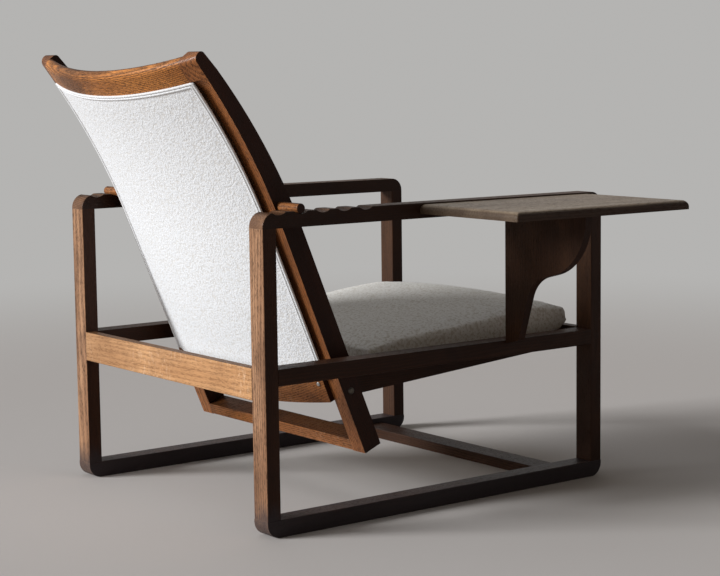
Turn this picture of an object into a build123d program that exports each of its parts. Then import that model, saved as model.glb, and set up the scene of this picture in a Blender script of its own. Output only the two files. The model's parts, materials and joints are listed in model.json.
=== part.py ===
"""Mission reclining armchair: two closed side frames, a seat and back linkage, and a side tray."""

import os
from math import asin, atan2, cos, degrees, hypot, sin, sqrt

from build123d import *

os.makedirs("parts", exist_ok=True)

# Lengths are in millimetres. The sitter faces -Y and the sitter's right is -X, where the tray is.
# The origin is on the floor, in the middle of the floor stretcher's underside.

# Side frames
frame_length = 857
frame_width = 734
arm_height = 610
stock_width = 46
post_depth = 30
arm_thickness = 30
runner_thickness = 33.5
corner_radius = 28
edge_ease = 2
mortise_wall = 11
tenon_length = 18

# Rack on the arms
scoop_count = 5
scoop_pitch = 50
scoop_radius = 25
scoop_depth = 5.5
first_scoop_inset = 36.5
rest_scoop = 2
rest_gap = 0.3

# Rails between the side frames
side_rail_height = 32
side_rail_top = 318
rear_rail_height = 61
cross_rail_thickness = 22
stretcher_width = 57
stretcher_thickness = 22
stretcher_inset = 67
peg_diameter = 8
peg_engagement = 24

# Side tray
tray_reach = 286
tray_length = 455
tray_thickness = 18
tray_front_inset = 34
tray_drop = 3
tray_edge_radius = 12
tray_corner_radius = 4
dowel_diameter = 8
dowel_length = 36
dowel_inset = 60

# Tray bracket
bracket_thickness = 17
bracket_reach = 236
bracket_lip = 7
bracket_swell_radius = 123
bracket_swell_angle = 76
bracket_slope = 28
bracket_throat_radius = 67
bracket_throat_angle = 58
bracket_shank = 75
bracket_foot_lap = 6
bracket_foot_reach = 40
bracket_foot_rise = 4
bracket_foot_radius = 13
bracket_dowel_inset = 58

# Seat and back pivots
pivot_inset = 244
pivot_drop = 73
bolt_diameter = 8
bolt_head_diameter = 14
bolt_head_height = 2
bolt_end_show = 2
washer_diameter = 20
washer_thickness = 2
nut_width = 13
nut_height = 6.5
running_play = 0.06
face_play = 0.1

# Back frame
stile_outer_gap = 20
stile_width = 40
stile_front = 22
stile_back = 19
stile_foot = 132
stile_bend_start = 360
stile_bend_radius = 1330
stile_front_bend_start = 325
stub_pin_diameter = 19
stub_pin_behind = 5.7
stub_pin_embed = 25

# Crest rail
crest_sagitta = 56
crest_start = 688
crest_height = 47
crest_thickness = 23
crest_rear_radius = 13
crest_front_radius = 8.5
head_depth = 27.2
head_top_depth = 22.4
head_fade = 34
head_root = 8
fade_sink = 0.3

# Back panel
bottom_rail_height = 25
lower_rail_start = 16
lower_rail_height = 72
batten_width = 20
rail_thickness = 14
board_thickness = 5
board_start = 18
cover_thickness = 3.5
cover_edge_inset = 1.5
cover_start = 42
welt_width = 11
welt_rise = 3
back_screw_inset = 13
back_screw_up = 26
back_screw_diameter = 4
back_screw_head_diameter = 9
back_screw_head_height = 2

# Front pad of the back
back_pad_start = 46
back_pad_edge = 40
back_pad_crown = 18
soft_gap = 0.3

# Seat frame
seat_hinge_inset = 57
seat_hinge_rise = 11
seat_hinge_offset = 9.6
seat_rail_thickness = 30
seat_rail_half_height = 20
seat_knuckle_radius = 14.6
seat_knuckle_taper = 42
front_bar_depth = 36
front_bar_lift = 6
rear_bar_depth = 30
rear_bar_inset = 62
hinge_pin_diameter = 10
hinge_pin_side_depth = 24
hinge_pin_bar_depth = 36
hinge_pin_end_gap = 1
deck_thickness = 12
deck_side_gap = 24
deck_rear_inset = 50

# Seat pad
seat_pad_thickness = 50
seat_pad_crown = 12
seat_pad_overhang = 18
seat_pad_bulge = 4

# Places that follow from those sizes
frame_outer = frame_width / 2
frame_inner = frame_outer - stock_width
frame_middle = frame_outer - stock_width / 2
frame_front = -stretcher_inset - stretcher_width / 2
frame_rear = frame_front + frame_length
frame_centre = frame_front + frame_length / 2
post_middles = {"front": frame_front + post_depth / 2, "rear": frame_rear - post_depth / 2}
post_height = arm_height - arm_thickness - runner_thickness
post_tenon_width = stock_width - 2 * mortise_wall
post_tenon_depth = post_depth / 2
side_rail_bottom = side_rail_top - side_rail_height
side_rail_length = frame_length - 2 * post_depth
rear_rail_middle = frame_rear - cross_rail_thickness / 2
front_rail_middle = frame_front + cross_rail_thickness / 2
front_rail_z = side_rail_top - side_rail_height / 2
cross_tenon_thickness = cross_rail_thickness / 2
stile_outer = frame_inner - stile_outer_gap
stile_inner = stile_outer - stile_width
tray_top = arm_height - tray_drop
tray_bottom = tray_top - tray_thickness
tray_front = frame_front + tray_front_inset
tray_middle = tray_front + tray_length / 2
scoop_places = [frame_rear - first_scoop_inset - scoop_pitch * place for place in range(scoop_count)]
scoop_axis_height = arm_height - scoop_depth + scoop_radius
hands = ((-1, "right"), (1, "left"))

# The stub pin lies in one scoop, and the back leans so that it gets there from its pivot.
pin_radius = stub_pin_diameter / 2
pin_y = scoop_places[rest_scoop - 1]
pin_z = arm_height - scoop_depth + rest_gap + pin_radius
pivot_y = frame_rear - pivot_inset
pivot_z = side_rail_top - pivot_drop
pin_distance = hypot(pin_y - pivot_y, pin_z - pivot_z)
back_lean = atan2(pin_y - pivot_y, pin_z - pivot_z) - asin(stub_pin_behind / pin_distance)

# The seat slopes from its front hinge in the side rails down to the same pivot.
hinge_y = frame_front + seat_hinge_inset
hinge_z = side_rail_bottom + seat_hinge_rise
hinge_distance = hypot(pivot_y - hinge_y, hinge_z - pivot_z)
seat_slope = atan2(hinge_z - pivot_z, pivot_y - hinge_y) - asin(seat_hinge_offset / hinge_distance)
seat_hinge_reach = sqrt(hinge_distance**2 - seat_hinge_offset**2)
seat_rail_outer = stile_inner - washer_thickness - face_play
seat_rail_inner = seat_rail_outer - seat_rail_thickness
seat_half_width = frame_inner - deck_side_gap
front_bar_front = seat_hinge_reach + front_bar_depth / 2

# Side views are drawn about the pivot: back_side along the back's lean, seat_side along the seat's slope.
back_side = Plane(
    origin=(0, pivot_y, pivot_z), x_dir=(0, cos(back_lean), -sin(back_lean)), z_dir=(1, 0, 0)
)
seat_side = Plane(
    origin=(0, pivot_y, pivot_z), x_dir=(0, cos(seat_slope), -sin(seat_slope)), z_dir=(1, 0, 0)
)

# All layers of the back share one plan arc, which touches the stiles' rear outer edges.
plan_radius = (stile_outer**2 + crest_sagitta**2) / (2 * crest_sagitta)
plan_centre = crest_sagitta - plan_radius
board_rear = -cover_thickness - rail_thickness
pad_rear = board_rear - board_thickness - soft_gap
head_turn = (crest_start - stile_bend_start) / stile_bend_radius
bend_centre = stile_back + stile_bend_radius
bend_origin = back_side.from_local_coords((bend_centre, stile_bend_start, 0))
bend_axis = Axis(origin=bend_origin, direction=(-1, 0, 0))


def side_plane(side, near, far):
    """Plane of a side view, at the lower X of the two distances from the middle on that side."""
    return Plane.YZ.offset(min(side * near, side * far))


def arc_depth(across, layer=0.0):
    """Depth of a layer's plan arc behind the stiles' rear outer edges, at a distance from the middle."""
    return plan_centre + sqrt((plan_radius + layer) ** 2 - across**2)


def back_station(along):
    """Plane square to the back's rear line, with X across and Y to the rear, at a length up from the pivot."""
    turn = max(0.0, (along - stile_bend_start) / stile_bend_radius)
    rise = min(along, stile_bend_start) + stile_bend_radius * sin(turn)
    rear = stile_back + stile_bend_radius * (1 - cos(turn))
    origin = back_side.from_local_coords((rear, rise, 0))
    lean = back_lean + turn
    return Plane(origin=origin, x_dir=(1, 0, 0), z_dir=(0, sin(lean), cos(lean)))


def arc_band(inner, outer, front, rear):
    """Face between two layers of the plan arc and between two distances across."""
    middle = (inner + outer) / 2
    with BuildLine() as outline:
        arcs = []
        for layer in (rear, front):
            points = [(across, arc_depth(across, layer)) for across in (inner, middle, outer)]
            arcs.append(ThreePointArc(points))
        Line(arcs[0] @ 0, arcs[1] @ 0)
        Line(arcs[0] @ 1, arcs[1] @ 1)
    make_face(outline.edges())


def curved_layer(bands, start, end):
    """Layer of the back from start to end: straight below the bend, then turned about its centre."""
    with BuildPart() as layer:
        if start < stile_bend_start:
            with BuildSketch(back_station(start)):
                for band in bands:
                    arc_band(*band)
            extrude(amount=min(end, stile_bend_start) - start)
        if end > stile_bend_start:
            bend_from = max(start, stile_bend_start)
            with BuildSketch(back_station(bend_from)):
                for band in bands:
                    arc_band(*band)
            revolve(axis=bend_axis, revolution_arc=degrees((end - bend_from) / stile_bend_radius))
    return layer.part


def finish(piece, name):
    """Label a piece and write its STEP file."""
    piece.label = name
    export_step(piece, f"parts/{name}.step")


# Pegs from the post's outer face into the front rail
with BuildPart() as front_pegs:
    for side, hand in hands:
        with BuildSketch(side_plane(side, frame_inner - peg_engagement, frame_outer)):
            with Locations((front_rail_middle, front_rail_z)):
                Circle(peg_diameter / 2)
        extrude(amount=stock_width + peg_engagement)
finish(front_pegs.part, "front_pegs")

# Front pivot dowels from the side rails into the seat's front bar
hinge_pin_start = seat_half_width - hinge_pin_bar_depth
hinge_pin_end = frame_inner + hinge_pin_side_depth
with BuildPart() as seat_pivot_dowels:
    for side, hand in hands:
        with BuildSketch(side_plane(side, hinge_pin_start, hinge_pin_end)):
            with Locations((hinge_y, hinge_z)):
                Circle(hinge_pin_diameter / 2)
        extrude(amount=hinge_pin_end - hinge_pin_start)
finish(seat_pivot_dowels.part, "seat_pivot_dowels")

# Rear rail with a tenon at each end
rear_rail_z = side_rail_top - rear_rail_height / 2
with BuildPart() as rear_rail:
    with BuildSketch(Plane.YZ.offset(-frame_inner)):
        with Locations((rear_rail_middle, rear_rail_z)):
            Rectangle(cross_rail_thickness, rear_rail_height)
    extrude(amount=2 * frame_inner)
    fillet(rear_rail.edges().filter_by(Axis.X), edge_ease)
    with BuildSketch(Plane.YZ.offset(-frame_inner - tenon_length)):
        with Locations((rear_rail_middle, rear_rail_z)):
            Rectangle(cross_tenon_thickness, rear_rail_height - 2 * mortise_wall)
    extrude(amount=2 * (frame_inner + tenon_length))
finish(rear_rail.part, "rear_rail")

# Front rail, held by the pegs
with BuildPart() as front_rail:
    with BuildSketch(Plane.YZ.offset(-frame_inner)):
        with Locations((front_rail_middle, front_rail_z)):
            Rectangle(cross_rail_thickness, side_rail_height)
    extrude(amount=2 * frame_inner)
    fillet(front_rail.edges().filter_by(Axis.X), edge_ease)
    add(front_pegs.part, mode=Mode.SUBTRACT)
finish(front_rail.part, "front_rail")

# Floor stretcher with a tenon in each runner
with BuildPart() as floor_stretcher:
    with BuildSketch(Plane.YZ.offset(-frame_inner)):
        with Locations((0, stretcher_thickness / 2)):
            Rectangle(stretcher_width, stretcher_thickness)
    extrude(amount=2 * frame_inner)
    fillet(floor_stretcher.edges().filter_by(Axis.X).group_by(Axis.Z)[-1], edge_ease)
    with BuildSketch(Plane.YZ.offset(-frame_inner - tenon_length)):
        with Locations((0, stretcher_thickness / 2)):
            Rectangle(stretcher_width - 2 * mortise_wall, stretcher_thickness / 2)
    extrude(amount=2 * (frame_inner + tenon_length))
finish(floor_stretcher.part, "floor_stretcher")

# Side frames: runner, posts, arm and side rail on each hand
for side, hand in hands:
    with BuildPart() as runner:
        with BuildSketch(side_plane(side, frame_inner, frame_outer)) as outline:
            with Locations((frame_centre, runner_thickness / 2)):
                Rectangle(frame_length, runner_thickness)
            fillet(outline.vertices().group_by(Axis.Y)[0], corner_radius)
        extrude(amount=stock_width)
        fillet(runner.edges().filter_by(Axis.Y).group_by(Axis.Z)[-1], edge_ease)
        with BuildSketch(Plane.XY.offset(runner_thickness)):
            with Locations([(side * frame_middle, place) for place in post_middles.values()]):
                Rectangle(post_tenon_width, post_tenon_depth)
        extrude(amount=-tenon_length, mode=Mode.SUBTRACT)
        add(floor_stretcher.part, mode=Mode.SUBTRACT)
    finish(runner.part, f"{hand}_runner")

    for end, place in post_middles.items():
        post_middle = (side * frame_middle, place)
        with BuildPart() as post:
            with BuildSketch(Plane.XY.offset(runner_thickness)):
                with Locations(post_middle):
                    Rectangle(stock_width, post_depth)
            extrude(amount=post_height)
            fillet(post.edges().filter_by(Axis.Z), edge_ease)
            with BuildSketch(Plane.XY.offset(runner_thickness - tenon_length)):
                with Locations(post_middle):
                    Rectangle(post_tenon_width, post_tenon_depth)
            extrude(amount=post_height + 2 * tenon_length)
            add(rear_rail.part, mode=Mode.SUBTRACT)
            add(front_pegs.part, mode=Mode.SUBTRACT)
        finish(post.part, f"{hand}_{end}_post")

    with BuildPart() as side_rail:
        with BuildSketch(side_plane(side, frame_inner, frame_outer)):
            with Locations((frame_centre, front_rail_z)):
                Rectangle(side_rail_length, side_rail_height)
        extrude(amount=stock_width)
        fillet(side_rail.edges().filter_by(Axis.Y), edge_ease)
        add(seat_pivot_dowels.part, mode=Mode.SUBTRACT)
    finish(side_rail.part, f"{hand}_side_rail")

# Hidden dowels from the tray's inner board into the right arm
dowel_places = [tray_front + dowel_inset, tray_middle, tray_front + tray_length - dowel_inset]
tray_middle_height = tray_top - tray_thickness / 2
with BuildPart() as tray_dowels:
    with BuildSketch(Plane.YZ.offset(-frame_outer - dowel_length / 2)):
        with Locations([(place, tray_middle_height) for place in dowel_places]):
            Circle(dowel_diameter / 2)
    extrude(amount=dowel_length)
finish(tray_dowels.part, "tray_dowels")

# Arms with rounded ends and a row of scoops near the rear
for side, hand in hands:
    with BuildPart() as arm:
        with BuildSketch(side_plane(side, frame_inner, frame_outer)) as outline:
            with Locations((frame_centre, arm_height - arm_thickness / 2)):
                Rectangle(frame_length, arm_thickness)
            fillet(outline.vertices().group_by(Axis.Y)[-1], corner_radius)
        extrude(amount=stock_width)
        fillet(arm.edges().filter_by(Axis.Y).group_by(Axis.Z)[-1], edge_ease)
        with BuildSketch(side_plane(side, frame_inner, frame_outer)):
            with Locations([(place, scoop_axis_height) for place in scoop_places]):
                Circle(scoop_radius)
        extrude(amount=stock_width, mode=Mode.SUBTRACT)
        with BuildSketch(Plane.XY.offset(arm_height - arm_thickness)):
            with Locations([(side * frame_middle, place) for place in post_middles.values()]):
                Rectangle(post_tenon_width, post_tenon_depth)
        extrude(amount=tenon_length, mode=Mode.SUBTRACT)
        add(tray_dowels.part, mode=Mode.SUBTRACT)
    finish(arm.part, f"{hand}_arm")

# Hidden dowels from the bracket up into each tray board
board_width = tray_reach / 2
board_places = {"inner": -frame_outer - board_width / 2, "outer": -frame_outer - 3 * board_width / 2}
bracket_dowel_places = [board_places["inner"], -frame_outer - bracket_reach + bracket_dowel_inset]
with BuildPart() as bracket_dowels:
    with BuildSketch(Plane.XY.offset(tray_bottom - tray_thickness / 2)):
        with Locations([(place, tray_middle) for place in bracket_dowel_places]):
            Circle(dowel_diameter / 2)
    extrude(amount=tray_thickness)
finish(bracket_dowels.part, "bracket_dowels")

# Tray: two boards glued edge to edge, with a rounded top edge on the three free sides
with BuildPart() as tray_blank:
    with BuildSketch(Plane.XY.offset(tray_bottom)) as outline:
        with Locations((-frame_outer - tray_reach / 2, tray_middle)):
            Rectangle(tray_reach, tray_length)
        fillet(outline.vertices().group_by(Axis.X)[0], tray_corner_radius)
    extrude(amount=tray_thickness)
    top_edges = tray_blank.edges().group_by(Axis.Z)[-1]
    fillet(top_edges.sort_by(Axis.X)[:-1], tray_edge_radius)
for name, place in board_places.items():
    with BuildPart() as board:
        add(tray_blank.part)
        with BuildSketch(Plane.XY.offset(tray_bottom)):
            with Locations((place, tray_middle)):
                Rectangle(board_width, tray_length)
        extrude(amount=tray_thickness, mode=Mode.INTERSECT)
        add(tray_dowels.part, mode=Mode.SUBTRACT)
        add(bracket_dowels.part, mode=Mode.SUBTRACT)
    finish(board.part, f"tray_{name}_board")

# Bracket: a board on edge, swelling at the top, waisted, with a rounded foot that laps the side rail
bracket_plane = Plane(
    origin=(-frame_outer, tray_middle - bracket_thickness / 2, 0), x_dir=(-1, 0, 0), z_dir=(0, 1, 0)
)
foot_tip = (bracket_foot_reach, side_rail_top + bracket_foot_rise)
foot_bottom = side_rail_top - bracket_foot_lap
with BuildPart() as bracket:
    with BuildSketch(bracket_plane) as outline:
        with BuildLine():
            lip = Line((bracket_reach, tray_bottom), (bracket_reach, tray_bottom - bracket_lip))
            swell = JernArc(lip @ 1, lip % 1, bracket_swell_radius, -bracket_swell_angle)
            slope = Line(swell @ 1, swell @ 1 + (swell % 1) * bracket_slope)
            throat = JernArc(slope @ 1, slope % 1, bracket_throat_radius, bracket_throat_angle)
            shank = Line(throat @ 1, throat @ 1 + (throat % 1) * bracket_shank)
            Polyline(shank @ 1, foot_tip, (0, foot_bottom), (0, tray_bottom), lip @ 0)
        make_face()
        fillet(outline.vertices().sort_by_distance(foot_tip)[0], bracket_foot_radius)
    extrude(amount=bracket_thickness)
    add(bracket_dowels.part, mode=Mode.SUBTRACT)
finish(bracket.part, "tray_bracket")

# Stub pins, fixed in the stiles and lying in the arms' scoops
stub_pin_length = frame_outer - stile_outer + stub_pin_embed
with BuildPart() as stub_pins:
    for side, hand in hands:
        with BuildSketch(side_plane(side, frame_outer - stub_pin_length, frame_outer)):
            with Locations((pin_y, pin_z)):
                Circle(pin_radius)
        extrude(amount=stub_pin_length)
    pin_ends = stub_pins.edges().filter_by(GeomType.CIRCLE).sort_by(lambda edge: abs(edge.center().X))[-2:]
    fillet(pin_ends, edge_ease)
finish(stub_pins.part, "stub_pins")

# Rear pivot: bolts with domed heads, through the stiles and the seat rails' ends
nut_end = seat_rail_inner - face_play - washer_thickness
bolt_end = nut_end - nut_height - bolt_end_show
with BuildPart() as pivot_bolts:
    for side, hand in hands:
        with BuildSketch(side_plane(side, bolt_end, stile_outer)):
            with Locations((pivot_y, pivot_z)):
                Circle(bolt_diameter / 2)
        extrude(amount=stile_outer - bolt_end)
        head_plane = Plane(origin=(side * stile_outer, pivot_y, pivot_z), z_dir=(side, 0, 0))
        with BuildSketch(head_plane):
            Circle(bolt_head_diameter / 2)
        extrude(amount=bolt_head_height, taper=45)
finish(pivot_bolts.part, "pivot_bolts")

with BuildPart() as pivot_washers:
    for side, hand in hands:
        for start in (stile_inner - washer_thickness, seat_rail_inner - face_play - washer_thickness):
            with BuildSketch(side_plane(side, start, start + washer_thickness)):
                with Locations((pivot_y, pivot_z)):
                    Circle(washer_diameter / 2)
                    Circle(bolt_diameter / 2, mode=Mode.SUBTRACT)
            extrude(amount=washer_thickness)
finish(pivot_washers.part, "pivot_washers")

with BuildPart() as pivot_nuts:
    for side, hand in hands:
        with BuildSketch(side_plane(side, nut_end - nut_height, nut_end)):
            with Locations((pivot_y, pivot_z)):
                RegularPolygon(nut_width / 2, side_count=6, major_radius=False)
                Circle(bolt_diameter / 2, mode=Mode.SUBTRACT)
        extrude(amount=nut_height)
finish(pivot_nuts.part, "pivot_nuts")

# Head of the back: one turned band that the crest rail and the stiles' heads are cut from
crest_station = back_station(crest_start)
crest_side = Plane(origin=crest_station.origin, x_dir=crest_station.y_dir, z_dir=(1, 0, 0))
crest_axis = Axis(origin=crest_side.from_local_coords((plan_centre, 0, 0)), direction=crest_station.z_dir)
crest_half_turn = degrees(asin(frame_inner / (plan_radius - crest_thickness)))
with BuildPart() as head_band:
    with BuildSketch(crest_side) as outline:
        with Locations((crest_sagitta - crest_thickness / 2, crest_height / 2)):
            Rectangle(crest_thickness, crest_height)
        rear_top = (crest_sagitta, crest_height)
        front_top = (crest_sagitta - crest_thickness, crest_height)
        fillet(outline.vertices().sort_by_distance(rear_top)[0], crest_rear_radius)
        fillet(outline.vertices().sort_by_distance(front_top)[0], crest_front_radius)
    revolve(axis=crest_axis, revolution_arc=crest_half_turn)
    mirror(about=Plane.YZ)

with BuildPart() as crest_rail:
    add(head_band.part)
    split(bisect_by=Plane.YZ.offset(stile_inner), keep=Keep.BOTTOM)
    split(bisect_by=Plane.YZ.offset(-stile_inner), keep=Keep.TOP)
finish(crest_rail.part, "crest_rail")

# Stiles: straight at the foot, swept back above the arms, with a head that follows the plan arc
joint_depth = arc_depth(stile_inner)
fade_shares = (1, 0.35, 0)
with BuildPart() as left_stile:
    with BuildSketch(back_side.offset(stile_inner)):
        with BuildLine():
            foot = Line((-stile_front, -stile_foot), (stile_back, -stile_foot))
            rear = Line(foot @ 1, (stile_back, stile_bend_start))
            rear_bend = JernArc(rear @ 1, rear % 1, stile_bend_radius, -degrees(head_turn))
            forward = (rear_bend % 1).rotate(Axis.Z, 90)
            head_joint = Line(rear_bend @ 1, rear_bend @ 1 + forward * head_depth)
            front = Line(foot @ 0, (-stile_front, stile_front_bend_start))
            TangentArc(front @ 1, head_joint @ 1, tangent=front % 1)
        make_face()
    extrude(amount=stile_width)
    for place, share in enumerate(fade_shares):
        fade_depth = joint_depth * share - fade_sink * (1 - share)
        with BuildSketch(back_station(crest_start - head_fade * place / (len(fade_shares) - 1))):
            with BuildLine():
                Polyline(
                    (stile_inner, -head_root),
                    (stile_outer, -head_root),
                    (stile_outer, -fade_sink),
                    (stile_inner, fade_depth),
                    close=True,
                )
            make_face()
    loft()
with BuildPart() as left_head:
    for along, depth in ((0, head_depth), (crest_height, head_top_depth)):
        with BuildSketch(crest_station.offset(along)):
            with BuildLine():
                Polyline(
                    (stile_inner, -depth), (stile_outer, -depth), (stile_outer, 0), (stile_inner, joint_depth), close=True
                )
            make_face()
    loft(ruled=True)
    stile_middle = (stile_inner + stile_outer) / 2
    rear_middle = crest_station.from_local_coords((stile_middle, joint_depth / 2, crest_height))
    front_middle = crest_station.from_local_coords((stile_middle, -head_top_depth, crest_height))
    fillet(left_head.edges().sort_by_distance(rear_middle)[0], crest_rear_radius)
    fillet(left_head.edges().sort_by_distance(front_middle)[0], crest_front_radius)
for side, hand in hands:
    with BuildPart() as stile:
        add(left_stile.part)
        add(left_head.part)
        if side < 0:
            mirror(about=Plane.YZ, mode=Mode.REPLACE)
        add(stub_pins.part, mode=Mode.SUBTRACT)
        add(pivot_bolts.part, mode=Mode.SUBTRACT)
    finish(stile.part, f"{hand}_stile")

# Rails and panel between the stiles
with BuildPart() as bottom_rail:
    with BuildSketch(back_side.offset(-stile_inner)):
        with Locations(((stile_back - stile_front) / 2, bottom_rail_height / 2 - stile_foot)):
            Rectangle(stile_back + stile_front, bottom_rail_height)
    extrude(amount=2 * stile_inner)
    fillet(bottom_rail.edges().filter_by(Axis.X), edge_ease)
finish(bottom_rail.part, "bottom_rail")

lower_rail_end = lower_rail_height - lower_rail_start
cover_edge = stile_inner - cover_edge_inset
welt_edge = cover_edge - welt_width
cover_end = crest_start - welt_width
screw_places = [side * (stile_inner - back_screw_inset) for side, hand in hands]
screw_station = back_station(back_screw_up)
with BuildPart() as back_screws:
    for place in screw_places:
        seat_depth = arc_depth(place, -cover_thickness)
        seat = screw_station.from_local_coords((place, seat_depth, 0))
        with BuildSketch(Plane(origin=seat, x_dir=(1, 0, 0), z_dir=screw_station.y_dir)):
            Circle(back_screw_head_diameter / 2)
        extrude(amount=back_screw_head_height, taper=30)
        with BuildSketch(Plane(origin=seat, x_dir=(1, 0, 0), z_dir=screw_station.y_dir)):
            Circle(back_screw_diameter / 2)
        extrude(amount=-rail_thickness - board_thickness / 2)
finish(back_screws.part, "back_screws")

full_width = (-stile_inner, stile_inner)
with BuildPart() as lower_rail:
    add(curved_layer([(*full_width, board_rear, -cover_thickness)], -lower_rail_start, lower_rail_end))
    add(back_screws.part, mode=Mode.SUBTRACT)
finish(lower_rail.part, "lower_rail")

batten_inner = stile_inner - batten_width
batten_layers = (board_rear, -cover_thickness)
batten_bands = [(side * stile_inner, side * batten_inner, *batten_layers) for side, hand in hands]
finish(curved_layer(batten_bands, lower_rail_end, crest_start), "panel_battens")

with BuildPart() as back_board:
    add(curved_layer([(*full_width, board_rear - board_thickness, board_rear)], board_start, crest_start))
    add(back_screws.part, mode=Mode.SUBTRACT)
finish(back_board.part, "back_board")

# Rear cover, and the double welt round its top and sides
finish(curved_layer([(-welt_edge, welt_edge, -cover_thickness, 0)], cover_start, cover_end), "rear_cover")

welt_sides = [(side * welt_edge, side * cover_edge, -cover_thickness, welt_rise) for side, hand in hands]
with BuildPart() as rear_welt:
    add(curved_layer(welt_sides, cover_start, crest_start))
    add(curved_layer([(-welt_edge, welt_edge, -cover_thickness, welt_rise)], cover_end, crest_start))
finish(rear_welt.part, "rear_welt")

# Front pad of the back: hollow across, crowned, with rounded front edges
pad_half_width = stile_inner - soft_gap
pad_end = crest_start - soft_gap
pad_edge_depth = arc_depth(pad_half_width, pad_rear) - back_pad_edge
pad_middle_depth = arc_depth(0, pad_rear) - back_pad_edge - back_pad_crown
with BuildPart() as back_pad:
    for start in (back_pad_start, stile_bend_start):
        with BuildSketch(back_station(start)):
            with BuildLine():
                rear_arc = ThreePointArc(
                    (-pad_half_width, arc_depth(pad_half_width, pad_rear)),
                    (0, arc_depth(0, pad_rear)),
                    (pad_half_width, arc_depth(pad_half_width, pad_rear)),
                )
                front_arc = ThreePointArc(
                    (-pad_half_width, pad_edge_depth), (0, pad_middle_depth), (pad_half_width, pad_edge_depth)
                )
                Line(rear_arc @ 0, front_arc @ 0)
                Line(rear_arc @ 1, front_arc @ 1)
            make_face()
        if start < stile_bend_start:
            extrude(amount=stile_bend_start - start)
        else:
            revolve(axis=bend_axis, revolution_arc=degrees((pad_end - start) / stile_bend_radius))
finish(back_pad.part, "back_pad")

# Seat frame: front bar on the pivot dowels, side rails that end in knuckles on the bolts, rear bar
front_bar_rear = front_bar_front - front_bar_depth
front_bar_height = 2 * seat_rail_half_height - front_bar_lift
with BuildPart() as seat_front_bar:
    with BuildSketch(seat_side.offset(-seat_half_width)):
        with Locations((front_bar_depth / 2 - front_bar_front, front_bar_lift / 2)):
            Rectangle(front_bar_depth, front_bar_height)
    extrude(amount=2 * seat_half_width)
    fillet(seat_front_bar.edges().filter_by(Axis.X), edge_ease)
    for side, hand in hands:
        with BuildSketch(side_plane(side, hinge_pin_start - hinge_pin_end_gap, seat_half_width)):
            with Locations((hinge_y, hinge_z)):
                Circle(hinge_pin_diameter / 2 + running_play)
        extrude(amount=hinge_pin_bar_depth + hinge_pin_end_gap, mode=Mode.SUBTRACT)
finish(seat_front_bar.part, "seat_front_bar")

for side, hand in hands:
    with BuildPart() as seat_rail:
        with BuildSketch(seat_side.offset(min(side * seat_rail_inner, side * seat_rail_outer))):
            Circle(seat_knuckle_radius)
            with Locations((-(front_bar_rear + seat_knuckle_taper) / 2, 0)):
                Rectangle(front_bar_rear - seat_knuckle_taper, 2 * seat_rail_half_height)
            make_hull()
            Circle(bolt_diameter / 2 + running_play, mode=Mode.SUBTRACT)
        extrude(amount=seat_rail_thickness)
    finish(seat_rail.part, f"seat_{hand}_rail")

with BuildPart() as seat_rear_bar:
    with BuildSketch(seat_side.offset(-seat_rail_inner)):
        with Locations((-rear_bar_inset - rear_bar_depth / 2, 0)):
            Rectangle(rear_bar_depth, 2 * seat_rail_half_height)
    extrude(amount=2 * seat_rail_inner)
    fillet(seat_rear_bar.edges().filter_by(Axis.X), edge_ease)
finish(seat_rear_bar.part, "seat_rear_bar")

deck_length = front_bar_front - deck_rear_inset
with BuildPart() as seat_deck:
    with BuildSketch(seat_side.offset(-seat_half_width)):
        with Locations((-deck_rear_inset - deck_length / 2, seat_rail_half_height + deck_thickness / 2)):
            Rectangle(deck_length, deck_thickness)
    extrude(amount=2 * seat_half_width)
finish(seat_deck.part, "seat_deck")

# Seat pad: lofted through sections that swell in the middle and draw in at the front and rear
pad_base = seat_rail_half_height + deck_thickness + soft_gap
pad_front = front_bar_front + seat_pad_overhang
pad_length = pad_front - deck_rear_inset
section_shares = ((0, 0.8), (0.14, 1), (0.5, 1.04), (0.86, 1.04), (1, 0.72))
with BuildPart() as seat_pad:
    for length_share, height_share in section_shares:
        height = seat_pad_thickness * height_share
        crown = seat_pad_crown * height_share
        origin = seat_side.from_local_coords((-deck_rear_inset - pad_length * length_share, pad_base, 0))
        with BuildSketch(Plane(origin=origin, x_dir=(1, 0, 0), z_dir=-seat_side.x_dir)):
            with BuildLine():
                Line((-seat_half_width, 0), (seat_half_width, 0))
                ThreePointArc((-seat_half_width, height), (0, height + crown), (seat_half_width, height))
                for side, hand in hands:
                    edge = side * seat_half_width
                    ThreePointArc((edge, 0), (edge + side * seat_pad_bulge, height / 2), (edge, height))
            make_face()
    loft()
finish(seat_pad.part, "seat_pad")
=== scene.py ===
"""Looks of the oak reclining armchair with a side tray: oak, cloth, piping, steel, camera and light."""

import json
import logging
import math
from dataclasses import dataclass, field
from enum import Enum

import bpy
from mathutils import Euler, Matrix, Vector

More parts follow.
